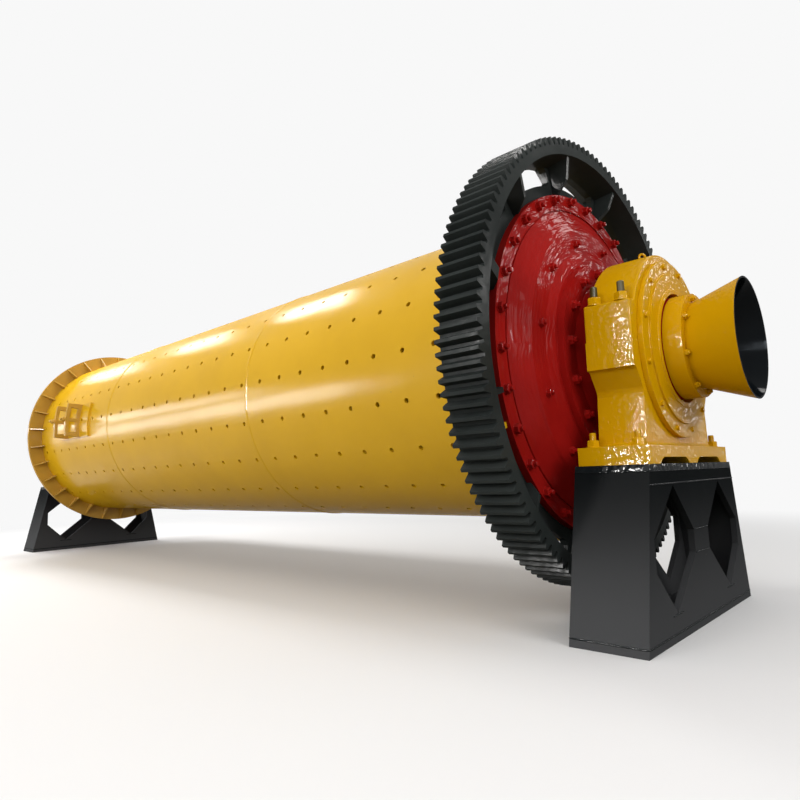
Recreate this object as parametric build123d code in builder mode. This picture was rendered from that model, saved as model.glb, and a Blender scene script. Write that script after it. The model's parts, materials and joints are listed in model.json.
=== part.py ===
from build123d import *
from math import cos, degrees, radians, sin
import os

os.makedirs("parts", exist_ok=True)

# Ball mill on two bearing pedestals, in millimetres.
# The origin lies on the floor under the drum axis, midway between the two bearings.
# +X runs along the drum axis to the discharge end, which carries the girth gear.
# +Z is up.
# Places along the drum are counted outwards from a bearing's centre and called reach.

# Overall layout
axis_height = 1545.0
bearing_span = 8300.0

# Drum shell, rolled from three plates
shell_radius = 992.0
shell_wall = 22.0
middle_course_length = 2660.0

# Bolt holes for the shell's liner plates
liner_hole_radius = 17.0
liner_rows = 20
liner_row_angle = 4.58
liner_pitch = 250.0
liner_end_gap = 196.0

# Flanged ends of the shell and what is bolted there
feed_head_reach = -691.0
discharge_head_reach = -386.0
head_flange_radius = 1084.0
head_flange_thickness = 45.0
shell_flange_radius = 1148.0
shell_flange_thickness = 45.0
flange_gusset_count = 30
flange_gusset_thickness = 14.0
flange_gusset_length = 110.0
flange_gusset_edge = 12.0
gusset_angle = -8.0
gusset_weld_gap = 0.3
gusset_bite = 2.0

# Dished heads
head_spigot_length = 30.0
head_spigot_clearance = 1.0
head_spigot_wall = 44.0
head_wall = 60.0
head_rise = 98.0
seat_radius = 635.0
land_radius = 840.0
land_width = 140.0
land_drop = 28.0
groove_radius = 988.0
groove_width = 12.0
groove_depth = 10.0

# Hollow trunnions
trunnion_bore_radius = 236.0
trunnion_flange_radius = 610.0
trunnion_flange_thickness = 40.0
trunnion_spigot_radius = 262.0
trunnion_spigot_length = 48.0
trunnion_root_radius = 470.0
trunnion_root_length = 70.0
journal_radius = 300.0
journal_end_reach = 180.0

# Collars and trumpets at the drum's two mouths
collar_length = 78.0
trumpet_flange_thickness = 22.0
trumpet_throat_radius = 246.0
trumpet_mouth_radius = 338.0
trumpet_length = 271.0
trumpet_wall = 10.0

# Girth gear, in two halves
gear_teeth = 132
gear_tip_radius = 1400.0
gear_width = 264.0
gear_offset = 23.0
gear_rim_thickness = 56.0
gear_rim_taper = 25.0
gear_web_thickness = 45.0
gear_hub_radius = 1156.0
gear_bore_clearance = 1.0
gear_window_count = 12
gear_window_spread = 26.0
gear_window_corner = 25.0
gear_rib_thickness = 26.0
gear_rib_recess = 15.0
gear_rib_bite = 6.0
gear_rib_root = (34.0, 1092.0)
gear_rib_knee = (108.0, 1165.0)
gear_joint_thickness = 34.0
tooth_root_share = 0.37
tooth_pitch_share = 0.25
tooth_tip_share = 0.13
tooth_bite = 10.0
gear_split_angle = 16.45

# Manhole in the feed end's shell course
manhole_x = -2230.0
manhole_angle = 4.5
manhole_length = 848.0
manhole_arc = 22.0
manhole_plate_thickness = 24.0
manhole_opening_length = 400.0
manhole_opening_arc = 16.0
yoke_spacing = 340.0
yoke_thickness = 46.0
yoke_height = 150.0
yoke_arc = 21.5
yoke_top_arc = 18.5
yoke_border = 34.0

# Bearing housings
bearing_fit = 0.05
housing_half_width = 129.0
housing_half_length = 515.0
housing_waist_half_length = 492.0
housing_waist_drop = 275.0
cap_radius = 565.0
ledge_half_length = 595.0
ledge_root_half_length = 572.0
ledge_rise = 205.0
ledge_drop = 155.0
housing_drop = 667.0
foot_half_length = 650.0
foot_half_width = 190.0
foot_thickness = 97.0
notch_height = 35.0
notch_inner = 65.0
notch_outer = 510.0
notch_slope = 45.0
cover_radius = 520.0
cover_flange_thickness = 30.0
cover_hub_radius = 440.0
cover_hub_thickness = 44.0
cover_lip_radius = 345.0
cover_lip_thickness = 53.0
cover_gap = 20.0
seal_ring_radius = 430.0
seal_ring_thickness = 24.0
seal_gap = 6.0

# Pedestals
pedestal_half_width = 197.0
pedestal_top_half_length = 680.0
pedestal_bottom_half_length = 874.0
sole_plate_thickness = 35.0
top_plate_thickness = 66.0
base_plate_thickness = 40.0
wall_plate_thickness = 34.0
window_top = (388.0, 765.0)
window_inner_top = (122.0, 517.0)
window_inner_bottom = (122.0, 393.0)
window_bottom = (460.0, 130.0)
window_outer_bottom = (700.0, 355.0)
window_outer_top = (700.0, 517.0)
anchor_hole_radius = 21.0
anchor_spacing_x = 220.0
anchor_spacing_y = 1440.0

# Sizes that follow from the ones above
foot_bottom = axis_height - housing_drop
pedestal_side_slope = (pedestal_bottom_half_length - pedestal_top_half_length) / foot_bottom
mill_axis = Axis((0, 0, axis_height), (1, 0, 0))
profile_plane = Plane(origin=(0, 0, axis_height), x_dir=(1, 0, 0), z_dir=(0, -1, 0))
shell_inner_radius = shell_radius - shell_wall
gear_pitch = 360.0 / gear_teeth
gear_module = 2 * gear_tip_radius / (gear_teeth + 2)
gear_root_radius = gear_tip_radius - 2.25 * gear_module
gear_rim_inner = gear_root_radius - gear_rim_thickness
gear_window_outer = gear_rim_inner - gear_rim_taper
gear_window_step = 360.0 / gear_window_count


def along(side, reach):
    """X of a place at a given reach from the bearing on one side of the mill."""
    return side * (bearing_span / 2 + reach)


feed_shell_end = along(-1, feed_head_reach - head_flange_thickness)
gear_web_outer = along(1, discharge_head_reach - head_flange_thickness)
gear_web_inner = gear_web_outer - gear_web_thickness
gear_centre = gear_web_outer + gear_offset


def save(piece, name):
    """Label a finished sub-part and write it to its own file."""
    piece.part.label = name
    export_step(piece.part, f"parts/{name}.step")


def ring(points):
    """Revolve a closed outline of (x, radius) points about the drum axis."""
    with BuildPart() as turned:
        with BuildSketch(profile_plane):
            with BuildLine():
                Polyline(*points, close=True)
            make_face()
        revolve(axis=mill_axis)
    return turned


def end_ring(side, points):
    """Revolve an outline of (reach, radius) points at one end of the mill."""
    return ring([(along(side, reach), radius) for reach, radius in points])


def cross_plane(x):
    """Plane across the drum at x, centred on the axis, with local x = Y and local y = Z."""
    return Plane(origin=(x, 0, axis_height), x_dir=(0, 1, 0), z_dir=(1, 0, 0))


def polar(radius, angle):
    """Point in a cross plane at an angle counted up from the -Y side."""
    return (-radius * cos(radians(angle)), radius * sin(radians(angle)))


def sector(plane, inner, outer, start, sweep, corner=0.0):
    """Sketch of a ring sector on a cross plane, with cut corners if they have a length."""
    middle = start + sweep / 2
    end = start + sweep
    with BuildSketch(plane) as shape:
        with BuildLine():
            far = ThreePointArc(polar(outer, start), polar(outer, middle), polar(outer, end))
            near = ThreePointArc(polar(inner, start), polar(inner, middle), polar(inner, end))
            Line(far @ 0, near @ 0)
            Line(far @ 1, near @ 1)
        make_face()
        if corner > 0:
            chamfer(shape.vertices(), corner)
    return shape.sketch


def in_manhole(x, angle):
    """Whether a place on the shell falls in the manhole's opening."""
    beside = abs((angle - manhole_angle + 180) % 360 - 180)
    return abs(x - manhole_x) < manhole_opening_length / 2 and beside < manhole_opening_arc / 2


# Drum shell, in three courses butted at the seams
liner_angles = [liner_row_angle + row * 360.0 / liner_rows for row in range(liner_rows)]
liner_first = gear_web_outer - liner_end_gap
liner_count = int((liner_first - feed_shell_end - liner_hole_radius) // liner_pitch) + 1
liner_columns = [liner_first - number * liner_pitch for number in range(liner_count)]
liner_drill = Pos(0, 0, axis_height + shell_radius) * Cylinder(liner_hole_radius, 4 * shell_wall)
course_ends = [
    feed_shell_end,
    -middle_course_length / 2,
    middle_course_length / 2,
    gear_web_outer,
]
for index, name in enumerate(["shell_feed_course", "shell_middle_course", "shell_discharge_course"]):
    low = course_ends[index]
    high = course_ends[index + 1]
    with BuildPart() as course:
        with BuildSketch(cross_plane(low)):
            Circle(shell_radius)
            Circle(shell_inner_radius, mode=Mode.SUBTRACT)
        extrude(amount=high - low)
        if low < manhole_x < high:
            opening = sector(
                cross_plane(manhole_x - manhole_opening_length / 2),
                shell_inner_radius - shell_wall,
                shell_radius + shell_wall,
                manhole_angle - manhole_opening_arc / 2,
                manhole_opening_arc,
            )
            extrude(opening, amount=manhole_opening_length, mode=Mode.SUBTRACT)
        add([
            liner_drill.moved(Location((x, 0, 0))).rotate(mill_axis, 90 - angle)
            for x in liner_columns
            for angle in liner_angles
            if low < x < high and not in_manhole(x, angle)
        ], clean=False, mode=Mode.SUBTRACT)
    save(course, name)


def shell_flange(side, outer_face):
    """Flange ring round the shell's end, stiffened by gussets on its inner side."""
    with BuildPart() as flange:
        with BuildSketch(cross_plane(outer_face)):
            Circle(shell_flange_radius)
            Circle(shell_radius, mode=Mode.SUBTRACT)
        extrude(amount=-side * shell_flange_thickness)
        root = outer_face - side * shell_flange_thickness
        foot = shell_radius + gusset_weld_gap
        top = shell_flange_radius - flange_gusset_edge
        with BuildSketch(profile_plane, mode=Mode.PRIVATE) as gusset_outline:
            with BuildLine():
                Polyline(
                    (root + side * gusset_bite, foot),
                    (root + side * gusset_bite, top),
                    (root - side * flange_gusset_edge, top),
                    (root - side * flange_gusset_length, foot + flange_gusset_edge),
                    (root - side * flange_gusset_length, foot),
                    close=True,
                )
            make_face()
        gusset = extrude(
            gusset_outline.sketch, amount=flange_gusset_thickness / 2, both=True, mode=Mode.PRIVATE
        )
        step = 360.0 / flange_gusset_count
        add([
            gusset.rotate(mill_axis, 90 - gusset_angle - number * step)
            for number in range(flange_gusset_count)
        ])
    return flange


save(shell_flange(-1, feed_shell_end), "feed_shell_flange")
save(shell_flange(1, gear_web_inner), "discharge_shell_flange")


def head(side, face):
    """Dished head with its bolting flange, a groove inside it and a stepped dish."""
    back = face - head_flange_thickness
    seat = face + head_rise
    spigot = shell_inner_radius - head_spigot_clearance
    land = seat - land_drop
    outline = [
        (back, head_flange_radius),
        (face, head_flange_radius),
        (face, groove_radius),
        (face - groove_depth, groove_radius),
        (face - groove_depth, groove_radius - groove_width),
        (face, groove_radius - groove_width),
        (land - groove_depth, land_radius + groove_width),
        (land, land_radius),
        (land + groove_depth / 2, land_radius - land_width),
        (seat, seat_radius),
        (seat, trunnion_spigot_radius),
        (seat - head_wall, trunnion_spigot_radius),
        (seat - head_wall, seat_radius),
        (land - head_wall, land_radius - groove_width),
        (back, spigot - head_spigot_wall),
        (back - head_spigot_length, spigot - head_spigot_wall),
        (back - head_spigot_length, spigot),
        (back, spigot),
    ]
    return end_ring(side, outline)


def trunnion(side, face):
    """Hollow trunnion: flange on the head, flared root and journal through the bearing."""
    seat = face + head_rise
    flange_top = seat + trunnion_flange_thickness
    outline = [
        (seat - trunnion_spigot_length, trunnion_bore_radius),
        (seat - trunnion_spigot_length, trunnion_spigot_radius),
        (seat, trunnion_spigot_radius),
        (seat, trunnion_flange_radius),
        (flange_top, trunnion_flange_radius),
        (flange_top, trunnion_root_radius),
        (flange_top + trunnion_root_length, journal_radius),
        (journal_end_reach, journal_radius),
        (journal_end_reach, trunnion_bore_radius),
    ]
    return end_ring(side, outline)


def collar(side):
    """Ring bolted to the trunnion's end, outside the bearing."""
    end = journal_end_reach + collar_length
    return end_ring(side, [
        (journal_end_reach, trunnion_bore_radius),
        (journal_end_reach, journal_radius),
        (end, journal_radius),
        (end, trunnion_bore_radius),
    ])


def trumpet(side):
    """Flared spout on the collar, of rolled plate with a bolting flange."""
    seat = journal_end_reach + collar_length
    throat = seat + trumpet_flange_thickness
    mouth = throat + trumpet_length
    return end_ring(side, [
        (seat, trunnion_bore_radius),
        (seat, journal_radius),
        (throat, journal_radius),
        (throat, trumpet_throat_radius),
        (mouth, trumpet_mouth_radius),
        (mouth, trumpet_mouth_radius - trumpet_wall),
        (throat, trunnion_bore_radius),
    ])


for side, name, face in [(-1, "feed", feed_head_reach), (1, "discharge", discharge_head_reach)]:
    save(head(side, face), f"{name}_head")
    save(trunnion(side, face), f"{name}_trunnion")
    save(collar(side), f"{name}_collar")
    save(trumpet(side), f"{name}_trumpet")


def tooth_outline(start, teeth):
    """Outer outline of a run of gear teeth that starts in the middle of a gap."""
    points = []
    for number in range(teeth):
        middle = start + (number + 0.5) * gear_pitch
        points.append(polar(gear_root_radius, middle - 0.5 * gear_pitch))
        points.append(polar(gear_root_radius, middle - tooth_root_share * gear_pitch))
        points.append(polar(gear_tip_radius - gear_module, middle - tooth_pitch_share * gear_pitch))
        points.append(polar(gear_tip_radius, middle - tooth_tip_share * gear_pitch))
        points.append(polar(gear_tip_radius, middle + tooth_tip_share * gear_pitch))
        points.append(polar(gear_tip_radius - gear_module, middle + tooth_pitch_share * gear_pitch))
        points.append(polar(gear_root_radius, middle + tooth_root_share * gear_pitch))
    points.append(polar(gear_root_radius, start + teeth * gear_pitch))
    return points


def rib_crests():
    """Free edges of a rib from hub to rim, inside the web and outside it, as (x, radius)."""
    rim_reach = gear_width / 2 - gear_rib_recess
    inner = [(gear_web_inner, gear_hub_radius), (gear_centre - rim_reach, gear_rim_inner)]
    outer = [(gear_web_outer + height, radius) for height, radius in (gear_rib_root, gear_rib_knee)]
    return inner, outer + [(gear_centre + rim_reach, gear_rim_inner)]


def gear_rib(root, crest, angle):
    """Radial rib between the gear's hub and its rim, on one side of the web."""
    with BuildSketch(profile_plane, mode=Mode.PRIVATE) as outline:
        with BuildLine():
            Polyline((root, crest[0][1]), *crest, (root, gear_rim_inner), close=True)
        make_face()
    rib = extrude(outline.sketch, amount=gear_rib_thickness / 2, both=True, mode=Mode.PRIVATE)
    return rib.rotate(mill_axis, 90 - angle)


def gear_half(start):
    """Half of the girth gear: toothed rim, web with windows, ribs and joint flanges."""
    low = gear_centre - gear_width / 2
    high = gear_centre + gear_width / 2
    bore = shell_radius + gear_bore_clearance
    profile = [
        (gear_web_inner, bore),
        (gear_web_inner, gear_window_outer),
        (low, gear_rim_inner),
        (low, gear_root_radius - tooth_bite / 2),
        (high, gear_root_radius - tooth_bite / 2),
        (high, gear_rim_inner),
        (gear_web_outer, gear_window_outer),
        (gear_web_outer, bore),
    ]
    first = polar(1, start)
    split_plane = Plane(origin=(0, 0, axis_height), x_dir=(1, 0, 0), z_dir=(0, first[1], -first[0]))
    with BuildPart() as half:
        with BuildSketch(split_plane):
            with BuildLine():
                Polyline(*profile, close=True)
            make_face()
        revolve(axis=mill_axis, revolution_arc=180)
        with BuildSketch(cross_plane(low)):
            with BuildLine():
                teeth = Polyline(*tooth_outline(start, gear_teeth // 2))
                back = ThreePointArc(
                    polar(gear_root_radius - tooth_bite, start),
                    polar(gear_root_radius - tooth_bite, start + 90),
                    polar(gear_root_radius - tooth_bite, start + 180),
                )
                Line(teeth @ 0, back @ 0)
                Line(teeth @ 1, back @ 1)
            make_face()
        extrude(amount=gear_width)
        for number in range(gear_window_count // 2):
            window = sector(
                cross_plane(gear_web_inner),
                gear_hub_radius,
                gear_window_outer,
                start + (number + 0.5) * gear_window_step - gear_window_spread / 2,
                gear_window_spread,
                gear_window_corner,
            )
            extrude(window, amount=gear_web_thickness, mode=Mode.SUBTRACT)
        inner_crest, outer_crest = rib_crests()
        with BuildSketch(split_plane):
            for flip in (-1, 1):
                with BuildLine():
                    Polyline(
                        *[(x, flip * radius) for x, radius in inner_crest[::-1]],
                        (gear_web_inner, flip * outer_crest[0][1]),
                        *[(x, flip * radius) for x, radius in outer_crest],
                        close=True,
                    )
                make_face()
        extrude(amount=gear_joint_thickness)
        add([
            gear_rib(root, crest, start + number * gear_window_step)
            for root, crest in (
                (gear_web_inner + gear_rib_bite, inner_crest),
                (gear_web_outer - gear_rib_bite, outer_crest),
            )
            for number in range(1, gear_window_count // 2)
        ])
    return half


save(gear_half(gear_split_angle), "girth_gear_upper_half")
save(gear_half(gear_split_angle + 180), "girth_gear_lower_half")


# Manhole cover, curved like the shell, which liner bolts pass through at its ends
with BuildPart() as manhole_cover:
    plate = sector(
        cross_plane(manhole_x - manhole_length / 2),
        shell_radius,
        shell_radius + manhole_plate_thickness,
        manhole_angle - manhole_arc / 2,
        manhole_arc,
    )
    extrude(plate, amount=manhole_length)
    add([
        liner_drill.moved(Location((x, 0, 0))).rotate(mill_axis, 90 - angle)
        for x in liner_columns
        for angle in liner_angles
        if abs(x - manhole_x) < manhole_length / 2 and not in_manhole(x, angle)
    ], mode=Mode.SUBTRACT)
save(manhole_cover, "manhole_cover")


def yoke_blank(plane, inner, outer):
    """Outline of a manhole yoke: arcs along the cover and the top, with straight sides."""
    with BuildSketch(plane) as shape:
        with BuildLine():
            ends = []
            for radius, arc in ((inner, yoke_arc), (outer, yoke_top_arc)):
                ends.append(ThreePointArc(
                    polar(radius, manhole_angle - arc / 2),
                    polar(radius, manhole_angle),
                    polar(radius, manhole_angle + arc / 2),
                ))
            Line(ends[0] @ 0, ends[1] @ 0)
            Line(ends[0] @ 1, ends[1] @ 1)
        make_face()
    return shape.sketch


# Two yokes that hold the cover down, each with two windows
with BuildPart() as manhole_yokes:
    yoke_root = shell_radius + manhole_plate_thickness
    yoke_top = yoke_root + yoke_height
    post = degrees(yoke_border / yoke_root)
    window_sweep = (yoke_top_arc - 3 * post) / 2
    for offset in (-yoke_spacing / 2, yoke_spacing / 2):
        plane = cross_plane(manhole_x + offset - yoke_thickness / 2)
        extrude(yoke_blank(plane, yoke_root, yoke_top), amount=yoke_thickness)
        for start in (post / 2, -post / 2 - window_sweep):
            lobe = sector(
                plane,
                yoke_root + yoke_border,
                yoke_top - yoke_border,
                manhole_angle + start,
                window_sweep,
            )
            extrude(lobe, amount=yoke_thickness, mode=Mode.SUBTRACT)
save(manhole_yokes, "manhole_yokes")


def bearing_base(side):
    """Lower half of a bearing housing: foot with two notches, column, ledges and half bore."""
    sole_top = foot_bottom
    foot_top = foot_bottom + foot_thickness
    with BuildPart() as base:
        with BuildSketch(Plane(origin=(along(side, -foot_half_width), 0, 0), x_dir=(0, 1, 0),
                               z_dir=(1, 0, 0))):
            with BuildLine():
                Polyline(
                    (-foot_half_length, sole_top),
                    (-notch_outer, sole_top),
                    (-notch_outer + notch_slope, sole_top + notch_height),
                    (-notch_inner - notch_slope, sole_top + notch_height),
                    (-notch_inner, sole_top),
                    (notch_inner, sole_top),
                    (notch_inner + notch_slope, sole_top + notch_height),
                    (notch_outer - notch_slope, sole_top + notch_height),
                    (notch_outer, sole_top),
                    (foot_half_length, sole_top),
                    (foot_half_length, foot_top),
                    (-foot_half_length, foot_top),
                    close=True,
                )
            make_face()
        extrude(amount=side * 2 * foot_half_width)
        with BuildSketch(Plane(origin=(along(side, -housing_half_width), 0, 0), x_dir=(0, 1, 0),
                               z_dir=(1, 0, 0))):
            with BuildLine():
                Polyline(
                    (-housing_half_length, foot_top),
                    (housing_half_length, foot_top),
                    (housing_waist_half_length, axis_height - housing_waist_drop),
                    (ledge_root_half_length, axis_height - ledge_drop),
                    (ledge_half_length, axis_height - ledge_drop),
                    (ledge_half_length, axis_height),
                    (-ledge_half_length, axis_height),
                    (-ledge_half_length, axis_height - ledge_drop),
                    (-ledge_root_half_length, axis_height - ledge_drop),
                    (-housing_waist_half_length, axis_height - housing_waist_drop),
                    close=True,
                )
            make_face()
        extrude(amount=side * 2 * housing_half_width)
        with BuildSketch(cross_plane(along(side, -housing_half_width))):
            Circle(journal_radius + bearing_fit)
        extrude(amount=side * 2 * housing_half_width, mode=Mode.SUBTRACT)
    return base


def bearing_cap(side):
    """Upper half of a bearing housing: a dome between two bolting ledges, and half bore."""
    with BuildPart() as cap:
        with BuildSketch(cross_plane(along(side, -housing_half_width))):
            with BuildLine():
                shoulder = (cap_radius ** 2 - ledge_rise ** 2) ** 0.5
                dome = ThreePointArc((-shoulder, ledge_rise), (0, cap_radius), (shoulder, ledge_rise))
                Polyline(
                    dome @ 1,
                    (ledge_half_length, ledge_rise),
                    (ledge_half_length, 0),
                    (-ledge_half_length, 0),
                    (-ledge_half_length, ledge_rise),
                    dome @ 0,
                )
            make_face()
            Circle(journal_radius + bearing_fit, mode=Mode.SUBTRACT)
        extrude(amount=side * 2 * housing_half_width)
    return cap


def bearing_cover(side):
    """Stepped cover ring on the housing's outer face, clear of the turning collar."""
    seat = housing_half_width
    bore = journal_radius + cover_gap
    return end_ring(side, [
        (seat, bore),
        (seat, cover_radius),
        (seat + cover_flange_thickness, cover_radius),
        (seat + cover_flange_thickness, cover_hub_radius),
        (seat + cover_hub_thickness, cover_hub_radius),
        (seat + cover_hub_thickness, cover_lip_radius),
        (seat + cover_lip_thickness, cover_lip_radius),
        (seat + cover_lip_thickness, bore),
    ])


def seal_ring(side):
    """Ring on the housing's inner face, round the trunnion."""
    seat = -housing_half_width
    bore = journal_radius + seal_gap
    return end_ring(side, [
        (seat, bore),
        (seat, seal_ring_radius),
        (seat - seal_ring_thickness, seal_ring_radius),
        (seat - seal_ring_thickness, bore),
    ])


def slope_half_length(height):
    """Half length of a pedestal at a height above the floor."""
    return pedestal_bottom_half_length - pedestal_side_slope * height


def slab(side, low, high):
    """Level plate of a pedestal, with ends that follow its slope."""
    with BuildPart() as plate:
        with BuildSketch(Plane(origin=(along(side, -pedestal_half_width), 0, 0), x_dir=(0, 1, 0),
                               z_dir=(1, 0, 0))):
            with BuildLine():
                Polyline(
                    (-slope_half_length(low), low),
                    (slope_half_length(low), low),
                    (slope_half_length(high), high),
                    (-slope_half_length(high), high),
                    close=True,
                )
            make_face()
        extrude(amount=side * 2 * pedestal_half_width)
    return plate


wall_low = base_plate_thickness
wall_high = foot_bottom - sole_plate_thickness - top_plate_thickness


def wall_plate(side, reach):
    """Upright plate across a pedestal, with two hexagonal windows."""
    with BuildPart() as plate:
        with BuildSketch(Plane(origin=(along(side, reach), 0, 0), x_dir=(0, 1, 0), z_dir=(1, 0, 0))):
            with BuildLine():
                Polyline(
                    (-slope_half_length(wall_low), wall_low),
                    (slope_half_length(wall_low), wall_low),
                    (slope_half_length(wall_high), wall_high),
                    (-slope_half_length(wall_high), wall_high),
                    close=True,
                )
            make_face()
            for flip in (-1, 1):
                with BuildLine():
                    Polyline(
                        *[(flip * y, z) for y, z in (
                            window_top, window_outer_top, window_outer_bottom,
                            window_bottom, window_inner_bottom, window_inner_top,
                        )],
                        close=True,
                    )
                make_face(mode=Mode.SUBTRACT)
        extrude(amount=side * wall_plate_thickness)
    return plate


def side_plates(side):
    """The two sloping end plates of a pedestal, between its upright plates."""
    with BuildPart() as plates:
        inner = pedestal_half_width - wall_plate_thickness
        for flip in (-1, 1):
            with BuildSketch(Plane(origin=(along(side, -inner), 0, 0), x_dir=(0, 1, 0),
                                   z_dir=(1, 0, 0))):
                with BuildLine():
                    Polyline(
                        (flip * slope_half_length(wall_low), wall_low),
                        (flip * slope_half_length(wall_high), wall_high),
                        (flip * (slope_half_length(wall_high) - wall_plate_thickness), wall_high),
                        (flip * (slope_half_length(wall_low) - wall_plate_thickness), wall_low),
                        close=True,
                    )
                make_face()
            extrude(amount=side * 2 * inner)
    return plates


def base_plate(side):
    """Bottom plate of a pedestal, with four anchor holes inside its walls."""
    plate = slab(side, 0.0, base_plate_thickness)
    with plate:
        with Locations(Location((along(side, 0), 0, base_plate_thickness))):
            with GridLocations(anchor_spacing_x, anchor_spacing_y, 2, 2):
                Hole(anchor_hole_radius, depth=base_plate_thickness)
    return plate


for side, name in [(-1, "feed"), (1, "discharge")]:
    save(bearing_base(side), f"{name}_bearing_base")
    save(bearing_cap(side), f"{name}_bearing_cap")
    save(bearing_cover(side), f"{name}_bearing_cover")
    save(seal_ring(side), f"{name}_seal_ring")
    sole_bottom = foot_bottom - sole_plate_thickness
    save(slab(side, sole_bottom, foot_bottom), f"{name}_sole_plate")
    save(slab(side, wall_high, sole_bottom), f"{name}_pedestal_top_plate")
    save(wall_plate(side, pedestal_half_width - wall_plate_thickness), f"{name}_pedestal_outer_plate")
    save(wall_plate(side, -pedestal_half_width), f"{name}_pedestal_inner_plate")
    save(side_plates(side), f"{name}_pedestal_side_plates")
    save(base_plate(side), f"{name}_pedestal_base_plate")
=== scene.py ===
"""Ball mill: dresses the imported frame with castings, fasteners, weld beads, paint, light and camera."""
from __future__ import annotations

import json
import logging
import math
from dataclasses import dataclass
from enum import Enum
from typing import Iterable, Sequence

import bmesh
import bpy
from mathutils import Matrix, Vector

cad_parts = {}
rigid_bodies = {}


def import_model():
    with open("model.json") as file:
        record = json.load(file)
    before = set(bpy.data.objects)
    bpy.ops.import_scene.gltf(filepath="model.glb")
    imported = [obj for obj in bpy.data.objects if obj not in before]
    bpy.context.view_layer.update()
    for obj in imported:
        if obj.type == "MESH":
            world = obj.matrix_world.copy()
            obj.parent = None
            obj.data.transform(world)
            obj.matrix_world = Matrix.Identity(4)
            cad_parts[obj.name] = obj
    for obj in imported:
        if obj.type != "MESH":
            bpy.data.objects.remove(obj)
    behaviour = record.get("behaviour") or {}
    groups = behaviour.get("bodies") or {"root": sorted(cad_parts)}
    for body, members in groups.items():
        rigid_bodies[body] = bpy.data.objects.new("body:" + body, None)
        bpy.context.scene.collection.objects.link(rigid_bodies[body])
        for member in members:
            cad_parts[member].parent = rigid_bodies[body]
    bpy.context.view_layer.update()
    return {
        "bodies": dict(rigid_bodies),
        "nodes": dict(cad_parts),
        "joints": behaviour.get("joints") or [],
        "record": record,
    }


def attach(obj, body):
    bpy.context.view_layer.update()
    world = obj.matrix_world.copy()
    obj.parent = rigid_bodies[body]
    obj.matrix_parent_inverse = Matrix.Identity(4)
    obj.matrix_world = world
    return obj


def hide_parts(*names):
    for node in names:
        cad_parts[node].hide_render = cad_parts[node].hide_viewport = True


log = logging.getLogger("ball_mill")

BMesh = bmesh.types.BMesh
Node = bpy.types.Node
Socket = bpy.types.NodeSocket
Pair = tuple[float, float]
Triple = tuple[float, float, float]
Colour = Triple

AXIS_HEIGHT = 1.545
HALF_SPAN = 4.15
SAME_PLACE = 1e-6
SMOOTH_UNDER = 35.0


class Body(Enum):
    """The two bodies of the mill."""

    PEDESTALS = "pedestals"
    DRUM = "drum"


class End(Enum):
    """The two ends of the mill, with the side of the origin that each lies on."""

    FEED = -1
    DISCHARGE = 1

    @property
    def tag(self) -> str:
        """Start of the end's node names."""
        return self.name.lower()

    def x(self, reach: float) -> float:
        """X of a place at a reach, counted outwards from the bearing's centre."""
        return self.value * (HALF_SPAN + reach)

    def outward(self) -> Vector:
        """Unit vector that points away from the drum at this end."""
        return Vector((self.value, 0.0, 0.0))


class Slot(Enum):
    """Material slots of the record."""

    SHELL = "shell_yellow"
    BEARING = "bearing_yellow"
    HEAD = "head_red"
    GEAR = "gear_black"
    PEDESTAL = "pedestal_black"


def on_drum(x: float, radius: float, angle: float) -> Vector:
    """Point at a radius and an angle about the drum's axis, in degrees up from the -Y side."""
    turn = math.radians(angle)
    return Vector((x, -radius * math.cos(turn), AXIS_HEIGHT + radius * math.sin(turn)))


def seated(point: Vector, normal: Vector, spin: float = 0.0) -> Matrix:
    """Frame at a point, whose Z is the normal of the surface and turned about it in degrees."""
    turn = normal.to_track_quat("Z", "Y").to_matrix().to_4x4()
    return Matrix.Translation(point) @ turn @ Matrix.Rotation(math.radians(spin), 4, "Z")


def new_piece(name: str, bm: BMesh, smooth: float = SMOOTH_UNDER) -> bpy.types.Object:
    """Turn a bmesh into an object at the origin.

    Args:
        name: Name of the piece.
        bm: Its shape in the row frame, which is freed.
        smooth: Angle in degrees under which two faces shade as one.

    Returns:
        The linked object.
    """
    mesh = bpy.data.meshes.new(name)
    for face in bm.faces:
        face.smooth = True
    for edge in bm.edges:
        if len(edge.link_faces) == 2:
            edge.smooth = edge.calc_face_angle(0.0) < math.radians(smooth)
    bm.to_mesh(mesh)
    bm.free()
    piece = bpy.data.objects.new(name, mesh)
    bpy.context.scene.collection.objects.link(piece)
    return piece


def prism(bm: BMesh, seat: Matrix, sides: int, radius: float, low: float, high: float,
          chamfer: float = 0.0) -> None:
    """Add an upright prism with an optional chamfer round its top.

    Args:
        bm: Mesh that receives it.
        seat: Frame that it stands in.
        sides: Number of sides.
        radius: Corner radius.
        low: Bottom, along the frame's Z.
        high: Top, along the frame's Z.
        chamfer: Width of the chamfer, or 0 for none.
    """
    middle = Matrix.Translation((0.0, 0.0, (low + high) / 2))
    made = bmesh.ops.create_cone(bm, cap_ends=True, cap_tris=False, segments=sides, radius1=radius,
                                 radius2=radius, depth=high - low, matrix=seat @ middle)
    if chamfer <= 0.0:
        return
    top = seat @ Vector((0.0, 0.0, high))
    up = (seat.to_3x3() @ Vector((0.0, 0.0, 1.0))).normalized()
    rim = set()
    for vert in made["verts"]:
        if abs((vert.co - top).dot(up)) < SAME_PLACE:
            rim.update(edge for edge in vert.link_edges
                       if abs((edge.other_vert(vert).co - top).dot(up)) < SAME_PLACE)
    bmesh.ops.bevel(bm, geom=list(rim), offset=chamfer, offset_type="OFFSET", affect="EDGES",
                    segments=1, profile=0.5, material=-1)


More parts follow.
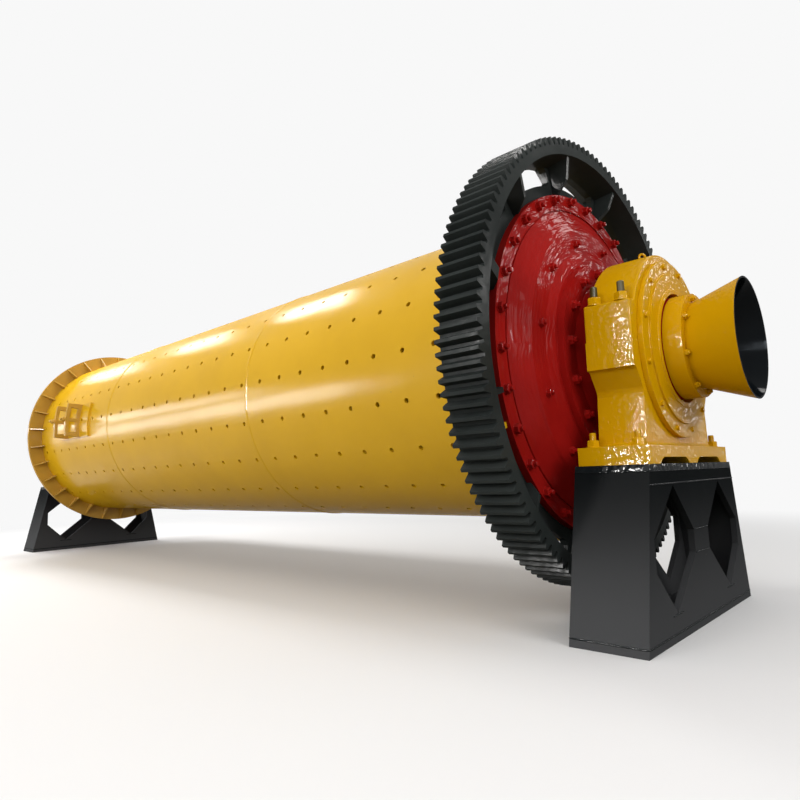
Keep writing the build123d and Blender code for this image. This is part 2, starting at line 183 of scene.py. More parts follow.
def turned(bm: BMesh, outline: Sequence[Pair], steps: int) -> None:
    """Spin a closed outline of (x, radius) points about the drum's axis.

    Args:
        bm: Mesh that receives the ring.
        outline: Points of the section, in order.
        steps: Number of segments round the ring.
    """
    verts = [bm.verts.new((x, -radius, AXIS_HEIGHT)) for x, radius in outline]
    edges = [bm.edges.new(pair) for pair in zip(verts, verts[1:] + verts[:1])]
    bmesh.ops.spin(bm, geom=verts + edges, cent=(0.0, 0.0, AXIS_HEIGHT), axis=(1.0, 0.0, 0.0),
                   angle=math.tau, steps=steps, use_merge=True, use_duplicate=False)
    bmesh.ops.remove_doubles(bm, verts=bm.verts, dist=SAME_PLACE)
    bmesh.ops.recalc_face_normals(bm, faces=bm.faces)


@dataclass(frozen=True)
class Bead:
    """Straight weld bead: a thin rod with rounded ends and an uneven thickness.

    The spacing of its rings is in radii. Two waves along the rings make the thickness uneven.
    """

    radius: float
    sides: int = 8
    spacing: float = 2.2
    mean: float = 0.86
    slow_wave: Pair = (0.14, 2.4)
    fast_wave: Pair = (0.06, 5.1)
    tip: float = 0.5

    def swell(self, number: int) -> float:
        """Radius of the bead at a ring.

        Args:
            number: Number of the ring, counted from the start.

        Returns:
            The radius, before a tip is narrowed.
        """
        (slow, slow_step), (fast, fast_step) = self.slow_wave, self.fast_wave
        waves = slow * math.cos(number * slow_step) + fast * math.sin(number * fast_step)
        return self.radius * (self.mean + waves)

    def build(self, bm: BMesh, start: Vector, end: Vector) -> None:
        """Add the bead between two points.

        Args:
            bm: Mesh that receives it.
            start: One end.
            end: The other end.
        """
        run = end - start
        count = max(3, int(run.length / (self.radius * self.spacing)))
        seat = seated(start, run.normalized())
        ring_before = None
        for number in range(count + 1):
            at_end = number in (0, count)
            swell = self.swell(number) * (self.tip if at_end else 1.0)
            place = seat @ Matrix.Translation((0.0, 0.0, number / count * run.length))
            ring = bmesh.ops.create_circle(bm, cap_ends=at_end, segments=self.sides, radius=swell,
                                           matrix=place)["verts"]
            edges = list({edge for vert in ring for edge in vert.link_edges
                          if edge.other_vert(vert) in ring})
            if ring_before is not None:
                bmesh.ops.bridge_loops(bm, edges=ring_before + edges)
            ring_before = edges


@dataclass(frozen=True)
class Fastener:
    """A stud with its nut and washer, or a bolt with its head.

    Sizes are in metres. The stud's length is how far it stands above its seat. Each piece starts a
    little inside what it stands on, and its chamfer is a share of its own size.
    """

    across: float
    height: float
    washer: float
    washer_height: float
    stud: float
    stud_length: float

    WASHER_SIDES, WASHER_SUNK, WASHER_CHAMFER = 20, 0.0005, 0.3
    NUT_SIDES, NUT_SUNK, NUT_CHAMFER = 6, 0.0002, 0.12
    STUD_SIDES, STUD_SUNK, STUD_CHAMFER = 12, 0.001, 0.2

    @property
    def top(self) -> float:
        """Height of the top of the nut or head."""
        return self.washer_height + self.height

    def build(self, seats: Iterable[Matrix]) -> BMesh:
        """Build one copy at each seat.

        Args:
            seats: Frames whose Z leaves the surface.

        Returns:
            The bmesh that holds every copy.
        """
        bm = bmesh.new()
        for seat in seats:
            prism(bm, seat, self.WASHER_SIDES, self.washer, -self.WASHER_SUNK, self.washer_height,
                  self.washer_height * self.WASHER_CHAMFER)
            prism(bm, seat, self.NUT_SIDES, self.across / math.sqrt(3.0),
                  self.washer_height - self.NUT_SUNK, self.top, self.height * self.NUT_CHAMFER)
            if self.stud_length > self.top:
                prism(bm, seat, self.STUD_SIDES, self.stud, self.top - self.STUD_SUNK,
                      self.stud_length, self.stud * self.STUD_CHAMFER)
        return bm


class Stock:
    """Standard fasteners used on the mill."""

    HEAD_BOLT = Fastener(0.050, 0.027, 0.031, 0.004, 0.015, 0.052)
    DISH_BOLT = Fastener(0.042, 0.022, 0.026, 0.004, 0.013, 0.042)
    TRUNNION_BOLT = Fastener(0.048, 0.026, 0.030, 0.004, 0.015, 0.048)
    TRUMPET_BOLT = Fastener(0.030, 0.014, 0.018, 0.003, 0.010, 0.026)
    COVER_BOLT = Fastener(0.028, 0.012, 0.016, 0.002, 0.008, 0.012)
    CAP_NUT = Fastener(0.066, 0.038, 0.040, 0.007, 0.020, 0.047)
    FOOT_NUT = Fastener(0.058, 0.032, 0.036, 0.006, 0.018, 0.040)
    GEAR_BOLT = Fastener(0.041, 0.022, 0.026, 0.004, 0.013, 0.036)
    YOKE_NUT = Fastener(0.046, 0.030, 0.030, 0.005, 0.015, 0.058)


@dataclass(frozen=True)
class BoltCircle:
    """Circle of like bolts on a face that looks outwards, each turned differently.

    The phase is the angle of its first bolt about the drum's axis, in degrees.
    """

    stock: Fastener
    radius: float
    count: int
    phase: float

    SPIN_STEP, SPIN_RANGE = 37.0, 60.0

    def build(self, end: End, reach: float) -> BMesh:
        """Build every bolt of the circle.

        Args:
            end: End of the mill.
            reach: Reach of the face.

        Returns:
            The bmesh that holds them all.
        """
        seats = []
        for number in range(self.count):
            angle = self.phase + number * 360.0 / self.count
            spin = self.SPIN_STEP * number % self.SPIN_RANGE
            seats.append(seated(on_drum(end.x(reach), self.radius, angle), end.outward(), spin))
        return self.stock.build(seats)


@dataclass(frozen=True)
class Thread:
    """Bare screw thread that shows above a nut, as a row of rings round a core."""

    radius: float
    depth: float = 0.0018
    pitch: float = 0.0060
    ring_share: float = 0.6
    sides: int = 12

    def build(self, bm: BMesh, seat: Matrix, low: float, high: float) -> None:
        """Add the thread between two heights of a seat.

        Args:
            bm: Mesh that receives it.
            seat: Frame whose Z leaves the surface.
            low: Height where the thread starts.
            high: Height where it ends.
        """
        prism(bm, seat, self.sides, self.radius - self.depth, low, high, self.depth)
        for number in range(int((high - low) / self.pitch)):
            bottom = low + number * self.pitch
            prism(bm, seat, self.sides, self.radius, bottom, bottom + self.pitch * self.ring_share)


@dataclass(frozen=True)
class LiftingEye:
    """Eye bolt: a ring that stands on a shank."""

    radius: float = 0.0180
    wire: float = 0.0068
    wire_sides: int = 12
    steps: int = 28
    shank_height: float = 0.020
    shank_radius: float = 0.013
    shank_sides: int = 16
    chamfer: float = 0.002
    turn: float = 40.0

    def build(self, seat: Matrix) -> BMesh:
        """Build the eye at a seat.

        Args:
            seat: Frame whose Z leaves the surface.

        Returns:
            The bmesh that holds it.
        """
        bm = bmesh.new()
        wire = bmesh.ops.create_circle(bm, cap_ends=False, segments=self.wire_sides, radius=self.wire,
                                       matrix=Matrix.Translation((self.radius, 0.0, 0.0)))["verts"]
        bmesh.ops.spin(bm, geom=wire + list(bm.edges), cent=(0.0, 0.0, 0.0), axis=(0.0, 1.0, 0.0),
                       angle=math.tau, steps=self.steps, use_merge=True, use_duplicate=False)
        turn = Matrix.Rotation(math.radians(self.turn), 4, "Z")
        lift = Matrix.Translation((0.0, 0.0, self.shank_height + self.radius + self.wire / 2))
        bmesh.ops.transform(bm, matrix=seat @ lift @ turn, verts=bm.verts)
        prism(bm, seat, self.shank_sides, self.shank_radius, 0.0, self.shank_height, self.chamfer)
        bmesh.ops.recalc_face_normals(bm, faces=bm.faces)
        return bm


class Graph:
    """Lays nodes into a shader tree and joins them."""

    def __init__(self, tree: bpy.types.NodeTree) -> None:
        """Work on a tree."""
        self.tree = tree

    @classmethod
    def fresh(cls, owner: bpy.types.Material | bpy.types.World) -> Graph:
        """Empty the tree of a material or a world, and work on it.

        Args:
            owner: What the tree belongs to.

        Returns:
            The graph of its tree.
        """
        owner.use_nodes = True
        owner.node_tree.nodes.clear()
        return cls(owner.node_tree)

    def add(self, kind: str, settings: dict[str, object] | None = None,
            **sockets: object) -> Node:
        """Add a node, with its settings and its inputs.

        Args:
            kind: Node type.
            settings: Properties of the node.
            **sockets: Values or sockets for its inputs, with underscores for spaces.

        Returns:
            The new node.
        """
        node = self.tree.nodes.new(kind)
        for name, value in (settings or {}).items():
            setattr(node, name, value)
        for name, value in sockets.items():
            self.join(value, node.inputs[name.replace("_", " ")])
        return node

    def join(self, value: object, socket: Socket) -> None:
        """Link a socket to an input, or set the input's value.

        Args:
            value: Output socket, number or colour.
            socket: Input that takes it.
        """
        if isinstance(value, Socket):
            self.tree.links.new(value, socket)
        elif socket.type == "RGBA":
            socket.default_value = (*value, 1.0)
        else:
            socket.default_value = value

    def math(self, operation: str, first: object, second: object = 0.0,
             clamp: bool = False) -> Socket:
        """Lay a Math node of two inputs.

        Args:
            operation: What the node does.
            first: Its first input.
            second: Its second input.
            clamp: Whether the result is kept between 0 and 1.

        Returns:
            The node's output.
        """
        node = self.add("ShaderNodeMath", {"operation": operation, "use_clamp": clamp})
        self.join(first, node.inputs[0])
        self.join(second, node.inputs[1])
        return node.outputs[0]

    def mix(self, factor: object, first: object, second: object) -> Socket:
        """Lay a colour Mix node.

        Args:
            factor: Share of the second colour.
            first: Colour at a factor of 0.
            second: Colour at a factor of 1.

        Returns:
            The node's output.
        """
        node = self.add("ShaderNodeMix", {"data_type": "RGBA"})
        self.join(factor, node.inputs[0])
        self.join(first, node.inputs[6])
        self.join(second, node.inputs[7])
        return node.outputs[2]

    def between(self, share: float, first: object, second: object) -> Socket:
        """Turn one normal part of the way to another.

        Args:
            share: How far it turns, from 0 to 1.
            first: Normal at a share of 0.
            second: Normal at a share of 1.

        Returns:
            The unit vector between them.
        """
        node = self.add("ShaderNodeMix", {"data_type": "VECTOR"})
        self.join(share, node.inputs[0])
        self.join(first, node.inputs[4])
        self.join(second, node.inputs[5])
        unit = self.add("ShaderNodeVectorMath", {"operation": "NORMALIZE"}, Vector=node.outputs[1])
        return unit.outputs["Vector"]

    def blend(self, share: object, first: Node, second: Node) -> Node:
        """Lay a Mix Shader node.

        Args:
            share: Share of the second shader.
            first: Shader at a share of 0.
            second: Shader at a share of 1.

        Returns:
            The node.
        """
        node = self.add("ShaderNodeMixShader", Fac=share)
        self.join(first.outputs[0], node.inputs[1])
        self.join(second.outputs[0], node.inputs[2])
        return node

    def band(self, value: object, low: float, high: float, to_low: float = 0.0,
             to_high: float = 1.0) -> Socket:
        """Lay a Map Range node with a smooth step.

        Args:
            value: What is mapped.
            low: Value where the step starts.
            high: Value where it ends.
            to_low: Result at and before its start.
            to_high: Result at and past its end.

        Returns:
            The node's output.
        """
        node = self.add("ShaderNodeMapRange", {"interpolation_type": "SMOOTHSTEP"})
        for index, item in enumerate((value, low, high, to_low, to_high)):
            self.join(item, node.inputs[index])
        return node.outputs[0]

    def noise(self, vector: object, scale: object, detail: float,
              roughness: float = 0.5) -> Socket:
        """Lay a Noise node.

        Args:
            vector: Where the noise is read.
            scale: How fine it is.
            detail: Number of finer layers on top.
            roughness: Strength of each finer layer.

        Returns:
            The node's value.
        """
        node = self.add("ShaderNodeTexNoise", Vector=vector, Scale=scale, Detail=detail,
                        Roughness=roughness)
        return node.outputs["Fac"]

    def split(self, vector: object) -> bpy.types.NodeOutputs:
        """X, Y and Z of a vector."""
        return self.add("ShaderNodeSeparateXYZ", Vector=vector).outputs

    def coordinates(self, kind: str) -> Socket:
        """Texture coordinates of a kind."""
        return self.add("ShaderNodeTexCoord").outputs[kind]

    def call(self, group: bpy.types.NodeTree, **sockets: object) -> Node:
        """Add a node group with values of its own."""
        return self.add("ShaderNodeGroup", {"node_tree": group}, **sockets)


def shader_group(name: str, output: str, numbers: dict[str, float]) -> tuple[
        Graph, bpy.types.NodeOutputs, bpy.types.NodeInputs]:
    """Start a shader node group that takes a vector and numbers and gives one number.

    Args:
        name: Name of the group.
        output: Name of its output.
        numbers: Name and default of each number that it takes.

    Returns:
        The group's graph, the sockets that hold what it takes, and those that take its result.
    """
    tree = bpy.data.node_groups.new(name, "ShaderNodeTree")
    tree.interface.new_socket("Vector", in_out="INPUT", socket_type="NodeSocketVector")
    for label, default in numbers.items():
        socket = tree.interface.new_socket(label, in_out="INPUT", socket_type="NodeSocketFloat")
        socket.default_value = default
    tree.interface.new_socket(output, in_out="OUTPUT", socket_type="NodeSocketFloat")
    graph = Graph(tree)
    return graph, graph.add("NodeGroupInput").outputs, graph.add("NodeGroupOutput").inputs


class Effects:
    """Node groups that the finishes share, each built once."""

    # height in metres where the painted floor-bounce light fades out
    PAINTED_GLOW_TOP = 0.86
    CHIP_LIMIT, CHIP_SHARPNESS = 0.88, 40.0
    STROKE_WANDER = 0.10

    def __init__(self) -> None:
        """Build every group."""
        self.lumps = self._lumps()
        self.dust = self._dust_and_painted_glow()
        self.chips = self._chips()
        self.strokes = self._strokes()

    def _lumps(self) -> bpy.types.NodeTree:
        """Height of thick paint: broad lumps, and orange peel that is finer.

        Returns:
            The group.
        """
        graph, source, result = shader_group(
            "Paint lumps", "Height", {"Lump Scale": 14.0, "Peel Scale": 160.0, "Peel": 0.25})
        lumps = graph.noise(source["Vector"], source["Lump Scale"], detail=1.0, roughness=0.35)
        peel = graph.noise(source["Vector"], source["Peel Scale"], detail=1.5)
        weighted = graph.math("MULTIPLY", peel, source["Peel"])
        graph.join(graph.math("ADD", lumps, weighted), result["Height"])
        return graph.tree

    def _dust_and_painted_glow(self) -> bpy.types.NodeTree:
        """Mask of dust on upward faces, broken by noise, plus painted floor-bounce light low down.

        Returns:
            The group.
        """
        graph, source, result = shader_group("Shop dust and painted glow", "Mask", {"Amount": 0.3, "Low Amount": 0.0})
        upward = graph.band(graph.split(graph.coordinates("Normal"))["Z"], 0.15, 0.95)
        patches = graph.noise(source["Vector"], 5.0, detail=5.0, roughness=0.62)
        broken = graph.band(patches, 0.34, 0.72)
        mask = graph.math("MULTIPLY", graph.math("MULTIPLY", upward, broken), source["Amount"])
        # painted light bounced from the floor: strongest at the bottom, fading out with height
        low = graph.band(graph.split(source["Vector"])["Z"], 0.0, self.PAINTED_GLOW_TOP, 1.0, 0.0)
        low = graph.math("MULTIPLY", low, source["Low Amount"])
        graph.join(graph.math("ADD", mask, low, True), result["Mask"])
        return graph.tree

    def _chips(self) -> bpy.types.NodeTree:
        """Mask of small chips and scuffs in the paint.

        Returns:
            The group.
        """
        graph, source, result = shader_group("Paint chips", "Mask", {"Scale": 30.0, "Amount": 0.06})
        fine = graph.noise(source["Vector"], source["Scale"], detail=4.0, roughness=0.65)
        broad = graph.band(graph.noise(source["Vector"], 3.1, detail=2.0), 0.3, 0.7, 0.7, 1.25)
        limit = graph.math("SUBTRACT", self.CHIP_LIMIT, source["Amount"])
        over = graph.math("SUBTRACT", graph.math("MULTIPLY", fine, broad), limit)
        graph.join(graph.math("MULTIPLY", over, self.CHIP_SHARPNESS, True), result["Mask"])
        return graph.tree

    def _strokes(self) -> bpy.types.NodeTree:
        """Height of brush strokes that run round the drum's axis.

        Returns:
            The group.
        """
        graph, source, result = shader_group("Brush strokes", "Height", {"Fineness": 56.0, "Length": 5.0})
        place = graph.split(source["Vector"])
        rise = graph.math("SUBTRACT", place["Z"], AXIS_HEIGHT)
        square = graph.math("ADD", graph.math("MULTIPLY", place["Y"], place["Y"]),
                            graph.math("MULTIPLY", rise, rise))
        drift = graph.noise(source["Vector"], 3.5, detail=2.0)
        wander = graph.math("MULTIPLY", drift, self.STROKE_WANDER)
        radius = graph.math("ADD", graph.math("SQRT", square), wander)
        across = graph.math("MULTIPLY", radius, source["Fineness"])
        along = graph.math("MULTIPLY", graph.math("ARCTAN2", rise, place["Y"]), source["Length"])
        brushed = graph.add("ShaderNodeCombineXYZ", X=across, Y=along, Z=place["X"]).outputs["Vector"]
        graph.join(graph.noise(brushed, 1.0, detail=1.0, roughness=0.4), result["Height"])
        return graph.tree


class Finish:
    """A finish that builds its material once."""

    name: str

    def shade(self, graph: Graph, effects: Effects) -> Node:
        """Lay the finish's nodes and return its shader."""
        raise NotImplementedError

    def material(self, effects: Effects) -> bpy.types.Material:
        """Material of this finish.

        Args:
            effects: Shared node groups.

        Returns:
            The material, made on the first call.
        """
        found = bpy.data.materials.get(self.name)
        if found is not None:
            return found
        material = bpy.data.materials.new(self.name)
        graph = Graph.fresh(material)
        shader = self.shade(graph, effects)
        graph.add("ShaderNodeOutputMaterial", Surface=shader.outputs[0])
        return material


@dataclass(frozen=True)
class Enamel(Finish):
    """Brushed or sprayed machine enamel over steel or iron.

    The two tones are mixed by a broad noise. The lumps and the brush strokes are relief, in metres.
    The coat follows the whole relief and the paint under it a share, its body.
    """

    name: str
    tone: Colour
    second_tone: Colour
    chip_colour: Colour
    lump_scale: float
    lump_relief: float
    peel: float = 0.0
    stroke_relief: float = 0.0
    body: float = 0.35
    roughness: float = 0.45
    roughness_spread: float = 0.12
    specular: float = 0.0
    coat: float = 0.12
    coat_roughness: float = 0.10
    dust: float = 0.05
    # painted light bounced from the floor, lighter towards the bottom
    low_painted_glow: float = 0.0
    # colour of the dust and of the painted floor-bounce light
    dust_and_glow_colour: Colour = (0.42, 0.38, 0.33)
    chips: float = 0.0

    DUST_ROUGHNESS = 0.3

    def shade(self, graph: Graph, effects: Effects) -> Node:
        """Lay the enamel's nodes.

        Args:
            graph: Graph of the material.
            effects: Shared node groups.

        Returns:
            The shader node.
        """
        place = graph.coordinates("Object")
        broad = graph.band(graph.noise(place, 1.3, detail=4.0, roughness=0.55), 0.32, 0.68)
        tone = graph.mix(broad, self.tone, self.second_tone)
        chips = graph.call(effects.chips, Vector=place, Amount=self.chips).outputs["Mask"]
        tone = graph.mix(chips, tone, self.chip_colour)
        # dust on upward faces, plus painted floor-bounce light that lightens the lowest part
        dust = graph.call(effects.dust, Vector=place, Amount=self.dust,
                          Low_Amount=self.low_painted_glow).outputs["Mask"]
        tone = graph.mix(dust, tone, self.dust_and_glow_colour)
        lumps = graph.call(effects.lumps, Vector=place, Lump_Scale=self.lump_scale, Peel=self.peel)
        height = graph.math("MULTIPLY", lumps.outputs["Height"], self.lump_relief)
        if self.stroke_relief > 0.0:
            strokes = graph.call(effects.strokes, Vector=place).outputs["Height"]
            height = graph.math("ADD", height, graph.math("MULTIPLY", strokes, self.stroke_relief))
        skin = graph.add("ShaderNodeBump", Height=height, Strength=1.0, Distance=1.0).outputs["Normal"]
        smooth = graph.add("ShaderNodeNewGeometry").outputs["Normal"]
        gloss = graph.band(graph.noise(place, 7.0, detail=5.0, roughness=0.6), 0.3, 0.75,
                           self.roughness, self.roughness + self.roughness_spread)
        gloss = graph.math("ADD", gloss, graph.math("MULTIPLY", dust, self.DUST_ROUGHNESS), True)
        return graph.add("ShaderNodeBsdfPrincipled", Base_Color=tone, Roughness=gloss,
                         Normal=graph.between(self.body, smooth, skin),
                         Specular_IOR_Level=self.specular, Coat_Weight=self.coat,
                         Coat_Roughness=self.coat_roughness, Coat_Normal=skin)


@dataclass(frozen=True)
class TwoSided(Finish):
    """Enamel outside and another inside and on the rim, for a spout turned about the drum's axis."""

    name: str
    outside: Enamel
    inside: Enamel
    rim: float = 4.68
    inward: float = -0.01
    end_facing: float = 0.9

    def shade(self, graph: Graph, effects: Effects) -> Node:
        """Lay both enamels and choose by whether the surface faces the axis.

        Args:
            graph: Graph of the material.
            effects: Shared node groups.

        Returns:
            The shader node.
        """
        place = graph.split(graph.coordinates("Object"))
        facing = graph.split(graph.coordinates("Normal"))
        rise = graph.math("SUBTRACT", place["Z"], AXIS_HEIGHT)
        across = graph.math("MULTIPLY", place["Y"], facing["Y"])
        outward = graph.math("ADD", across, graph.math("MULTIPLY", rise, facing["Z"]))
        far = graph.math("GREATER_THAN", graph.math("ABSOLUTE", place["X"]), self.rim)
        flat = graph.math("GREATER_THAN", graph.math("ABSOLUTE", facing["X"]), self.end_facing)
        mask = graph.math("MAXIMUM", graph.math("LESS_THAN", outward, self.inward),
                          graph.math("MULTIPLY", far, flat))
        outer = self.outside.shade(graph, effects)
        return graph.blend(mask, outer, self.inside.shade(graph, effects))


class Palette:
    """Every finish of the mill."""

    SHELL = Enamel(
        "Yellow enamel on rolled plate", (0.70, 0.400, 0.008), (0.65, 0.368, 0.007), (0.30, 0.18, 0.05),
        2.6, 0.0050, roughness_spread=0.10, coat=0.40, coat_roughness=0.18)
    # shell yellow darkened as painted shade, for the feed flange that stands in shadow; the manhole yokes
    # and their nuts share it
    FLANGE = Enamel(
        "Mustard enamel with painted shade", (0.55, 0.320, 0.050), (0.44, 0.252, 0.040), (0.20, 0.13, 0.05),
        12.0, 0.0020, coat=0.25, coat_roughness=0.15, dust=0.10)
    CASTING = Enamel(
        "Yellow enamel on cast iron", (0.61, 0.325, 0.0015), (0.56, 0.295, 0.001), (0.34, 0.20, 0.04),
        32.0, 0.0064, body=0.13, roughness_spread=0.10, coat=0.17, coat_roughness=0.12, dust=0.02)
    HEAD = Enamel(
        "Red enamel on cast steel", (0.36, 0.010, 0.008), (0.24, 0.007, 0.006), (0.10, 0.02, 0.02),
        18.0, 0.0032, peel=0.004, stroke_relief=0.0110, body=0.18, roughness_spread=0.14, coat=0.11,
        dust=0.03)
    GEAR = Enamel(
        "Black paint on the gear", (0.0155, 0.0190, 0.0185), (0.029, 0.034, 0.033), (0.05, 0.04, 0.03),
        18.0, 0.0020, peel=0.2, roughness=0.40, roughness_spread=0.20, coat_roughness=0.22, dust=0.06,
        dust_and_glow_colour=(0.07, 0.06, 0.045), chips=0.03)
    # its low glow is painted floor-bounce light that lightens the plates towards the bottom
    PLATE = Enamel(
        "Black paint on welded plate", (0.0050, 0.0062, 0.0068), (0.009, 0.0105, 0.011),
        (0.06, 0.05, 0.04), 9.0, 0.0012, peel=0.12, roughness=0.40, roughness_spread=0.15, coat=0.02,
        coat_roughness=0.45, low_painted_glow=0.56, dust_and_glow_colour=(0.098, 0.100, 0.105), chips=0.02)
    SOLE = Enamel(
        "Glossy black enamel", (0.007, 0.009, 0.010), (0.014, 0.017, 0.018), (0.06, 0.05, 0.04),
        26.0, 0.0060, peel=0.02, body=0.3, roughness=0.40, roughness_spread=0.15, coat=0.16, dust=0.06,
        dust_and_glow_colour=(0.09, 0.085, 0.08), chips=0.02)
    INSIDE = Enamel(
        "Dark primer in the trumpet", (0.0025, 0.0035, 0.0045), (0.005, 0.007, 0.009),
        (0.03, 0.03, 0.025), 12.0, 0.0010, roughness=0.34, dust_and_glow_colour=(0.05, 0.05, 0.04))
    THREAD = Enamel(
        "Olive thread", (0.070, 0.052, 0.006), (0.13, 0.095, 0.010), (0.04, 0.03, 0.015),
        90.0, 0.0003, peel=0.2, roughness_spread=0.15, specular=0.2, coat=0.05, coat_roughness=0.3,
        chips=0.04)
    TRUMPET = TwoSided("Trumpet enamel and primer", CASTING, INSIDE)


@dataclass(frozen=True)
class Kit:
    """What every assembly needs to dress itself."""

    frame: dict
    effects: Effects

    def node(self, name: str) -> bpy.types.Object:
        """CAD node of that name."""
        return self.frame["nodes"][name]

    def coat(self, piece: bpy.types.Object, finish: Finish) -> None:
        """Give a piece or a CAD node a finish in place of what it has."""
        piece.data.materials.clear()
        piece.data.materials.append(finish.material(self.effects))

    def paint(self, finish: Finish, *names: str) -> None:
        """Give CAD nodes a finish."""
        for name in names:
            self.coat(self.node(name), finish)

    def fit(self, piece: bpy.types.Object, body: Body, slot: Slot, finish: Finish) -> None:
        """Paint a new piece and set it on its body.

        Args:
            piece: The piece, already in place.
            body: Body that it rides on.
            slot: Slot of the record that it belongs to; not used.
            finish: Its finish.
        """
        self.coat(piece, finish)
        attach(piece, body.value)
        log.info("%s: %d faces on %s", piece.name, len(piece.data.polygons), body.value)


@dataclass(frozen=True)
class Casting:
    """Rounded copy of a CAD casting, which stands for the crisp node.

    Its edges and its hollows are rounded by a width in metres each, where they bend by more than
    the crease, in degrees.
    """

    node: str
    edge: float
    hollow: float
    crease: float = 24.0

    MERGE, FLAT, SPLIT = 2e-5, 0.8, 1e-4
    HOLLOW_SEGMENTS, EDGE_SEGMENTS = 5, 3
    SMOOTH_UNDER = 30.0

    @classmethod
    def on_split(cls, edge: bmesh.types.BMEdge) -> bool:
        """Whether an edge lies in the housing's split, where thick paint closes the joint."""
        return all(abs(vert.co.z - AXIS_HEIGHT) < cls.SPLIT for vert in edge.verts)

    def build(self, kit: Kit) -> bpy.types.Object:
        """Copy the node's mesh and round its edges.

        Args:
            kit: Frame and shared groups.

        Returns:
            The rounded piece.
        """
        bm = bmesh.new()
        bm.from_mesh(kit.node(self.node).data)
        bmesh.ops.remove_doubles(bm, verts=bm.verts, dist=self.MERGE)
        bmesh.ops.dissolve_limit(bm, angle_limit=math.radians(self.FLAT), verts=bm.verts, edges=bm.edges)
        for convex, width, segments in ((False, self.hollow, self.HOLLOW_SEGMENTS),
                                        (True, self.edge, self.EDGE_SEGMENTS)):
            chosen = [edge for edge in bm.edges
                      if len(edge.link_faces) == 2 and edge.is_convex is convex
                      and edge.calc_face_angle(0.0) > math.radians(self.crease)
                      and not self.on_split(edge)]
            bmesh.ops.bevel(bm, geom=chosen, offset=width, offset_type="OFFSET", affect="EDGES",
                            segments=segments, profile=0.5, material=-1, clamp_overlap=True)
        piece = new_piece(f"{self.node}_rounded", bm, self.SMOOTH_UNDER)
        flat = piece.modifiers.new("flat_faces", "WEIGHTED_NORMAL")
        flat.weight, flat.keep_sharp = 100, True
        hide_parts(self.node)
        return piece


@dataclass(frozen=True)
class EndAssembly:
    kit: Kit
    end: End

    def named(self, name: str) -> str:
        """Full name of a node or a piece at this end."""
        return f"{self.end.tag}_{name}"


@dataclass(frozen=True)
class DrumEnd(EndAssembly):
    """Head, trunnion, collar and trumpet at one end of the drum, with their bolts."""

    head_rise: float = 0.098
    land_drop: float = 0.0250
    flange_thickness: float = 0.040
    trumpet_face_reach: float = 0.280
    head_circle: BoltCircle = BoltCircle(Stock.HEAD_BOLT, 1.045, 30, -2.0)
    dish_circle: BoltCircle = BoltCircle(Stock.DISH_BOLT, 0.752, 12, 10.0)
    trunnion_circle: BoltCircle = BoltCircle(Stock.TRUNNION_BOLT, 0.539, 15, -19.0)
    trumpet_circle: BoltCircle = BoltCircle(Stock.TRUMPET_BOLT, 0.272, 8, 29.0)

    FACE_REACH = {End.FEED: -0.691, End.DISCHARGE: -0.386}

    def dress(self) -> None:
        """Add the end's bolts and paint its castings."""
        face = self.FACE_REACH[self.end]
        seat = face + self.head_rise
        red, yellow = (Slot.HEAD, Palette.HEAD), (Slot.SHELL, Palette.CASTING)
        rows = (("head_bolts", self.head_circle, face, red),
                ("dish_bolts", self.dish_circle, seat - self.land_drop, red),
                ("trunnion_bolts", self.trunnion_circle, seat + self.flange_thickness, red),
                ("trumpet_bolts", self.trumpet_circle, self.trumpet_face_reach, yellow))
        for name, circle, reach, (slot, finish) in rows:
            piece = new_piece(self.named(name), circle.build(self.end, reach))
            self.kit.fit(piece, Body.DRUM, slot, finish)
        self.kit.paint(Palette.HEAD, self.named("head"), self.named("trunnion"))
        self.kit.paint(Palette.CASTING, self.named("collar"))
        self.kit.paint(Palette.TRUMPET, self.named("trumpet"))


